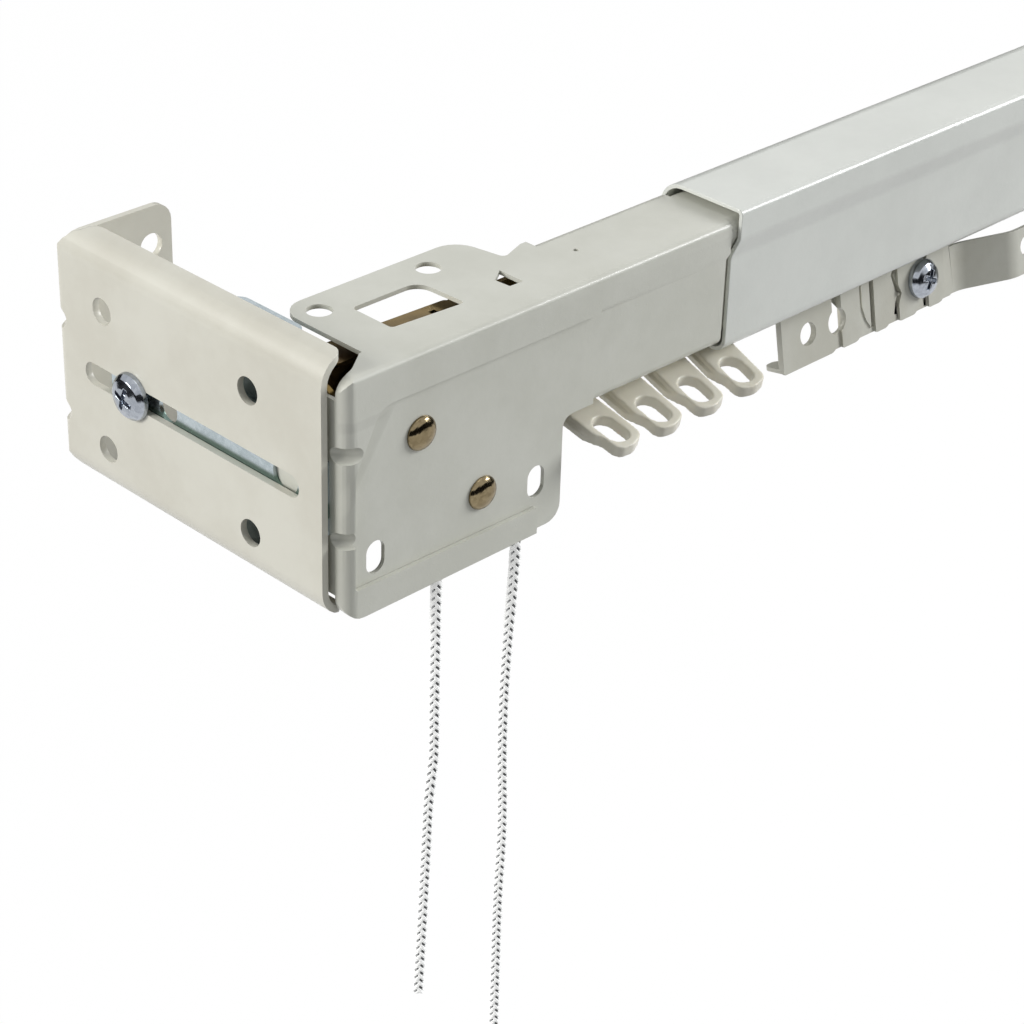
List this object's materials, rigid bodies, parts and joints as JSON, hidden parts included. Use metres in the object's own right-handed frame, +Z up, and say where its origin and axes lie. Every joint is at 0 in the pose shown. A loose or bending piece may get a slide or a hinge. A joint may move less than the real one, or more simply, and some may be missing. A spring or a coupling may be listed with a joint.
{
  "type": "curtain track",
  "caption": "Telescoping two-way curtain track of painted steel with end housings, wall brackets, eyelet gliders, master gliders with an overlap arm, and a hanging draw cord.",
  "frame": {"origin": "on the wall plane, midway between the two screw holes of the left wall flange", "axes": "+X along the rod to the right, +Y into the wall, +Z up"},
  "size_m": [0.7668, 0.0797, 0.166],
  "materials": {
    "bracket_paint": "warm off-white satin paint",
    "housing_paint": "off-white satin paint",
    "track_paint": "cool white satin paint",
    "plate_paint": "off-white satin paint",
    "zinc": "bright blue-white zinc plating",
    "passivated_zinc": "yellow passivated zinc plating",
    "screw_steel": "polished zinc-plated steel",
    "nickel": "polished nickel with a warm tint",
    "pulley_nylon": "natural nylon",
    "glider_plastic": "warm white, slightly glossy",
    "slider_plastic": "warm white",
    "cord_white": "braided white cord with grey flecks"
  },
  "bodies": {
    "left_bracket": {"wall_bracket_left": "bracket_paint"},
    "left_rod": {"bracket_slide_left": "zinc", "projection_screw_left": "screw_steel", "end_housing_left": "housing_paint", "pulley_frame_left": "passivated_zinc", "upper_rivet_left": "nickel", "lower_rivet_left": "nickel", "outer_track": "track_paint", "draw_cord_runs": "cord_white", "cord_tail_left": "cord_white", "cord_tail_right": "cord_white"},
    "upper_pulley": {"upper_pulley_left": "pulley_nylon"},
    "lower_pulley": {"lower_pulley_left": "pulley_nylon"},
    "left_master": {"master_plate_left": "plate_paint", "master_slider_left": "slider_plastic", "master_screw_left": "screw_steel"},
    "right_rod": {"inner_track": "track_paint", "end_housing_right": "housing_paint", "bracket_slide_right": "zinc", "projection_screw_right": "screw_steel", "pulley_frame_right": "passivated_zinc", "upper_rivet_right": "nickel", "lower_rivet_right": "nickel", "draw_cord_return": "cord_white"},
    "return_pulley": {"return_pulley_right": "pulley_nylon"},
    "right_bracket": {"wall_bracket_right": "bracket_paint"},
    "right_master": {"master_plate_right": "plate_paint", "master_slider_right": "slider_plastic", "master_screw_right": "screw_steel"},
    "left_glider_1": {"glider_left_1": "glider_plastic"},
    "right_glider_1": {"glider_right_1": "glider_plastic"},
    "left_glider_2": {"glider_left_2": "glider_plastic"},
    "right_glider_2": {"glider_right_2": "glider_plastic"},
    "left_glider_3": {"glider_left_3": "glider_plastic"},
    "right_glider_3": {"glider_right_3": "glider_plastic"},
    "left_glider_4": {"glider_left_4": "glider_plastic"},
    "right_glider_4": {"glider_right_4": "glider_plastic"}
  },
  "joints": [
    {"name": "projection", "type": "slide", "parent": "left_bracket", "child": "left_rod", "axis": [0, -1, 0], "range_m": [0, 0.038]},
    {"name": "right_projection", "type": "slide", "parent": "right_rod", "child": "right_bracket", "axis": [0, -1, 0], "range_m": [-0.038, 0]},
    {"name": "rod_extend", "type": "slide", "parent": "left_rod", "child": "right_rod", "axis": [1, 0, 0], "range_m": [0, 0.457]},
    {"name": "draw", "type": "slide", "parent": "left_rod", "child": "left_master", "axis": [1, 0, 0], "range_m": [0, 0.204]},
    {"name": "right_draw", "type": "slide", "parent": "right_rod", "child": "right_master", "axis": [1, 0, 0], "range_m": [-0.204, 0]},
    {"name": "glider_left_1_slide", "type": "slide", "parent": "left_rod", "child": "left_glider_1", "axis": [1, 0, 0], "range_m": [0, 0.0408]},
    {"name": "glider_right_1_slide", "type": "slide", "parent": "right_rod", "child": "right_glider_1", "axis": [1, 0, 0], "range_m": [-0.0408, 0]},
    {"name": "glider_left_2_slide", "type": "slide", "parent": "left_rod", "child": "left_glider_2", "axis": [1, 0, 0], "range_m": [0, 0.0816]},
    {"name": "glider_right_2_slide", "type": "slide", "parent": "right_rod", "child": "right_glider_2", "axis": [1, 0, 0], "range_m": [-0.0816, 0]},
    {"name": "glider_left_3_slide", "type": "slide", "parent": "left_rod", "child": "left_glider_3", "axis": [1, 0, 0], "range_m": [0, 0.1224]},
    {"name": "glider_right_3_slide", "type": "slide", "parent": "right_rod", "child": "right_glider_3", "axis": [1, 0, 0], "range_m": [-0.1224, 0]},
    {"name": "glider_left_4_slide", "type": "slide", "parent": "left_rod", "child": "left_glider_4", "axis": [1, 0, 0], "range_m": [0, 0.1632]},
    {"name": "glider_right_4_slide", "type": "slide", "parent": "right_rod", "child": "right_glider_4", "axis": [1, 0, 0], "range_m": [-0.1632, 0]},
    {"name": "upper_pulley_spin", "type": "hinge", "parent": "left_rod", "child": "upper_pulley", "pos_m": [-0.0011, -0.0646, 0.0052], "axis": [0, 1, 0], "range_deg": [-1772, 1]},
    {"name": "lower_pulley_spin", "type": "hinge", "parent": "left_rod", "child": "lower_pulley", "pos_m": [0.0131, -0.0682, -0.0114], "axis": [0, 1, 0], "range_deg": [-1, 1772]},
    {"name": "return_pulley_spin", "type": "hinge", "parent": "right_rod", "child": "return_pulley", "pos_m": [0.7223, -0.0665, 0.0052], "axis": [0, 1, 0], "range_deg": [-1772, 1]}
  ],
  "couplings": [
    {"joint": "right_projection", "follows": "projection", "ratio": -1},
    {"joint": "right_draw", "follows": "draw", "ratio": -1},
    {"joint": "glider_left_1_slide", "follows": "draw", "ratio": 0.2},
    {"joint": "glider_right_1_slide", "follows": "draw", "ratio": -0.2},
    {"joint": "glider_left_2_slide", "follows": "draw", "ratio": 0.4},
    {"joint": "glider_right_2_slide", "follows": "draw", "ratio": -0.4},
    {"joint": "glider_left_3_slide", "follows": "draw", "ratio": 0.6},
    {"joint": "glider_right_3_slide", "follows": "draw", "ratio": -0.6},
    {"joint": "glider_left_4_slide", "follows": "draw", "ratio": 0.8},
    {"joint": "glider_right_4_slide", "follows": "draw", "ratio": -0.8},
    {"joint": "upper_pulley_spin", "follows": "draw", "rad_per_m": -151.51},
    {"joint": "lower_pulley_spin", "follows": "draw", "rad_per_m": 151.51},
    {"joint": "return_pulley_spin", "follows": "draw", "rad_per_m": -151.51}
  ]
}
